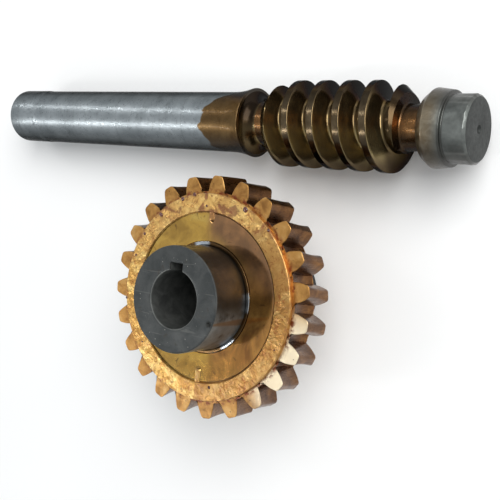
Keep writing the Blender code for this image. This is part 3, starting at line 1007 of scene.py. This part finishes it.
def shank_material(place):
    """Turned grey steel, lacquered brown-gold near the thread up to a wavy line, with painted shade
    down both sides.
    """
    s = Surface(place, "worm_shank", 0.95, 0.3, Specular_Tint=DULL_EDGE, Coat_Weight=0.08,
                Coat_Roughness=0.08)
    steel = s.two_tone(s.noise(20, 5, 0.4), (140, 147, 150), (176, 183, 186))
    steel = s.tint(steel, s.between(s.noise(4, 6, 0.8), 0.56, 0.70), 0.45, (112, 116, 116))
    steel = s.tint(steel, s.between(s.rings(s.z, 2.2), 0.60, 0.75), 0.25, (104, 108, 108))
    lacquer = s.two_tone(s.noise(10, 4, 0.6), (92, 70, 43), (120, 96, 63))
    wave = s.times(s.noise(22, 3, 0.5, s.stretched(1.0, 1.0, 0.3)), 0.03)
    aside = s.maths("ADD", s.y, -0.002)
    drawn_back = s.times(s.times(aside, aside), 46.0)
    line = s.maths("SUBTRACT", s.maths("ADD", s.z, wave), drawn_back)
    cover = s.between(line, -0.0935, -0.0920)
    colour = s.mix(cover, steel, lacquer)
    # Painted shade: the steel and lacquer are darkened towards both sides of the bar.
    s.colour(s.painted_shade_sides(colour, 0.008, 0.0215, 0.85, seen(62, 63, 63)))
    s.roughness(s.noise(2.5, 5, 0.3), 0.24, 0.40)
    s.bump((s.rings(s.z, 0.5), 0.02), (s.noise(1.4, 5, 0.6), 0.035))
    return s.mat


def thread_flank_material(place):
    """Ground flanks and root of the thread under a dark golden film of oil, with a painted
    highlight below the middle and painted shade on the sides and in the hollow behind the flare.
    """
    s = Surface(place, "thread_flanks", 0.95, 0.22, Specular_Tint=DULL_EDGE, Coat_Weight=0.08,
                Coat_Roughness=0.1)
    film = s.ramp(s.noise(12, 4, 0.6), (0.30, seen(108, 90, 62)), (0.55, seen(134, 114, 80)),
                  (0.75, seen(152, 132, 94)))
    film = s.tint(film, s.between(s.noise(9, 2, 1.0), 0.52, 0.7), 0.4, (96, 72, 46))
    # Painted highlight: a lighter gold band on the worm's half towards the wheel, a little off its
    # middle.
    painted_lower_highlight = s.times(s.between(s.y, 0.000, 0.008), s.outside(s.y, 0.018, 0.030))
    film = s.tint(film, painted_lower_highlight, 0.7, (176, 158, 112))
    # The hollow behind the flare is darkened as painted shade, and its half away from the wheel
    # darker still; the thread's near end is darkened as well.
    far_face = s.outside(s.z, -0.062, -0.058)
    near_face = s.between(s.z, 0.0425, 0.0445)
    ends = s.maths("MAXIMUM", far_face, near_face)
    film = s.tint(film, ends, 0.85, (58, 43, 26))
    painted_shade_outer_half = s.outside(s.y, -0.004, 0.008)
    film = s.tint(film, s.times(painted_shade_outer_half, far_face), 0.8, (22, 16, 12))
    # Painted shade: the flanks are darkened towards both sides of the worm, and more on its side
    # away from the wheel.
    film = s.painted_shade_sides(film, 0.014, 0.028, 0.75, seen(56, 47, 39))
    painted_shade_outer_side = s.outside(s.y, -0.022, -0.006)
    s.colour(s.tint(film, painted_shade_outer_side, 0.8, (38, 30, 24)))
    s.roughness(s.maths("ADD", s.noise(6, 2), s.times(far_face, 2.5)), 0.16, 0.26)
    s.bump((s.rings(s.radius(), 0.5), 0.012), (s.noise(8, 2), 0.04))
    return s.mat


def crest_material(place):
    """Ground crests of the thread, brown, with painted shade towards the sides."""
    s = Surface(place, "thread_crests", 1.0, 0.25, Specular_Tint=DULL_EDGE, Coat_Weight=0.1,
                Coat_Roughness=0.08)
    metal = s.two_tone(s.noise(6, 4, 0.6), (88, 73, 52), (120, 104, 80))
    metal = s.tint(metal, s.between(s.noise(2, 5, 1.0), 0.58, 0.68), 0.6, (76, 62, 46))
    # Painted shade: the crests are darkened towards both sides of the worm.
    s.colour(s.painted_shade_sides(metal, 0.0, 0.020, 0.8, seen(56, 48, 38)))
    s.roughness(s.noise(1.5, 4), 0.15, 0.24)
    s.bump((s.rings(s.z, 0.35), 0.012), (s.noise(2.0, 3), 0.010))
    return s.mat


def neck_material(place):
    """The necks at both ends of the thread, under a copper-brown film, with painted shade down
    their sides.
    """
    s = Surface(place, "neck_film", 0.9, 0.25, Specular_Tint=DULL_EDGE, Coat_Weight=0.12,
                Coat_Roughness=0.06)
    film = s.ramp(s.noise(7, 4, 0.8), (0.30, seen(96, 68, 40)), (0.55, seen(138, 98, 58)),
                  (0.75, seen(162, 122, 80)))
    # Painted shade: the film is darkened towards both sides of the neck.
    s.colour(s.painted_shade_sides(film, 0.0, 0.0115, 0.92, seen(42, 35, 26)))
    s.roughness(s.noise(3, 4), 0.18, 0.34)
    s.bump((s.rings(s.z, 0.4), 0.02), (s.noise(2.5, 4), 0.04))
    return s.mat


def collar_material(place):
    """Collar and journal: turned grey steel, brown with oil on the collar, scored by the tool, with
    painted shade down both sides.
    """
    s = Surface(place, "collar_and_journal", 0.9, 0.35, Coat_Weight=0.2, Coat_Roughness=0.1)
    grey = s.two_tone(s.noise(8, 5, 0.4), (92, 95, 92), (126, 130, 126))
    brown = s.two_tone(s.noise(6, 4, 0.6), (108, 92, 70), (146, 136, 116))
    on_collar = s.outside(s.z, 0.076, 0.086)
    colour = s.mix(on_collar, grey, brown)
    step = s.maths("ABSOLUTE", s.maths("SUBTRACT", s.z, (COLLAR_END + 0.1) * MM))
    step = s.outside(step, 0.0006, 0.0018)
    colour = s.tint(colour, step, 0.7, (60, 60, 56))
    # Painted shade: the collar and journal are darkened towards both sides of the bar.
    s.colour(s.painted_shade_sides(colour, 0.006, 0.022, 0.8, seen(48, 46, 43)))
    s.roughness(s.noise(1.6, 5), 0.28, 0.46)
    score = s.noise(1.3, 4, 0.3, s.stretched(1.0, 1.0, 2.5))
    s.bump((s.rings(s.z, 0.7), 0.06), (score, 0.05))
    return s.mat


def end_face_material(place):
    """The journal's dark, turned end."""
    s = Surface(place, "worm_end_face", 0.7, 0.5)
    s.colour(s.two_tone(s.noise(9, 5, 0.4), (42, 44, 42), (60, 62, 60)))
    s.roughness(s.noise(2, 4), 0.44, 0.6)
    s.bump((s.rings(s.radius(), 0.6), 0.03), (s.noise(1.2, 4), 0.03))
    return s.mat


def worm_materials(place):
    makers = (shank_material, thread_flank_material, crest_material, neck_material,
              collar_material, end_face_material)
    return [make(place) for make in makers]


def hub_materials(place):
    return [make(place) for make in (hub_face_material, hub_side_material, bore_material)]


def oil_material(place):
    """Drops of thick red-brown oil."""
    s = Surface(place, "dark_oil", 0.0, 0.08, Coat_Weight=1.0, Coat_Roughness=0.03)
    s.colour(s.two_tone(s.noise(1.5, 3), (58, 20, 12), (96, 44, 26)))
    s.bump((s.noise(1.2, 2), 0.05))
    return s.mat


def screw_material(place):
    """Black oxide on the lock screws."""
    s = Surface(place, "black_oxide", 0.8, 0.4)
    s.colour(s.two_tone(s.noise(1.5, 4), (34, 34, 36), (58, 58, 60)))
    s.bump((s.noise(0.8, 4), 0.02))
    return s.mat


# ======================================================
# Floor, light and camera
# ======================================================

def build_floor():
    bm = bmesh.new()
    corners = [(-1, -1), (1, -1), (1, 1), (-1, 1)]
    bm.faces.new([bm.verts.new((x * FLOOR_HALF, y * FLOOR_HALF, 0)) for x, y in corners])
    mesh = bpy.data.meshes.new("floor")
    bm.to_mesh(mesh)
    bm.free()
    floor = bpy.data.objects.new("floor", mesh)
    floor.location.z = FLOOR_Z
    bpy.context.collection.objects.link(floor)
    s = Surface(Matrix.Identity(4), "pale_floor", 0.0, 0.75)
    s.colour(s.two_tone(s.noise(400, 3), (240, 240, 239), (246, 246, 245)))
    mesh.materials.append(s.mat)


def area_light(name, direction, distance, width, length, power, colour=(1, 1, 1)):
    """A soft box that looks at the object from a direction, its length along Y where it can."""
    light = bpy.data.lights.new(name, "AREA")
    light.shape = "RECTANGLE"
    light.size, light.size_y = width, length
    light.energy = power
    light.color = colour
    obj = bpy.data.objects.new(name, light)
    bpy.context.collection.objects.link(obj)
    back = Vector(direction).normalized()
    right = Vector((1, 0, 0))
    right = (right - right.dot(back) * back).normalized()
    up = back.cross(right)
    turn = Matrix((right, up, back)).transposed()
    obj.matrix_world = Matrix.Translation(back * distance) @ turn.to_4x4()


def build_lights():
    world = bpy.data.worlds.new("studio")
    world.use_nodes = True
    background = world.node_tree.nodes["Background"]
    background.inputs["Color"].default_value = (0.94, 0.97, 1.0, 1.0)
    background.inputs["Strength"].default_value = 0.55
    bpy.context.scene.world = world
    bpy.context.scene.view_settings.view_transform = "Standard"
    area_light("far_left_strip", (-0.31, 0.68, 0.66), 3.0, 0.10, 2.0, 11)
    area_light("far_right_strip", (0.42, 0.67, 0.62), 3.0, 0.10, 2.0, 5.5)
    area_light("overhead", (0.6, -0.8, 1.0), 2.6, 2.0, 2.0, 64)


def build_camera(worm_place):
    right = CAMERA_RIGHT.normalized()
    up = (CAMERA_UP - CAMERA_UP.dot(right) * right).normalized()
    back = right.cross(up)
    turn = Matrix((right, up, back)).transposed()
    camera = bpy.data.cameras.new("camera")
    camera.lens = LENS
    camera.sensor_width = SENSOR
    camera.clip_start = 0.01
    obj = bpy.data.objects.new("camera", camera)
    bpy.context.collection.objects.link(obj)
    place = worm_place.translation + turn @ (CAMERA_FROM_WORM * MM)
    obj.matrix_world = Matrix.Translation(place) @ turn.to_4x4()
    bpy.context.scene.camera = obj


worm_place, wheel_place = worm_frame(), wheel_frame()
build_camera(worm_place)
build_lights()
build_floor()
build_worm(worm_place, worm_materials(worm_place))
build_rim(wheel_place, rim_materials(wheel_place))
build_hub(wheel_place, hub_materials(wheel_place))
build_washer(wheel_place, [washer_material(wheel_place)])
build_drops(wheel_place, [oil_material(wheel_place)])
screws = screw_material(wheel_place)
for number in range(1, 5):
    frame["nodes"][f"lock_screw_{number}"].material_slots[0].material = screws
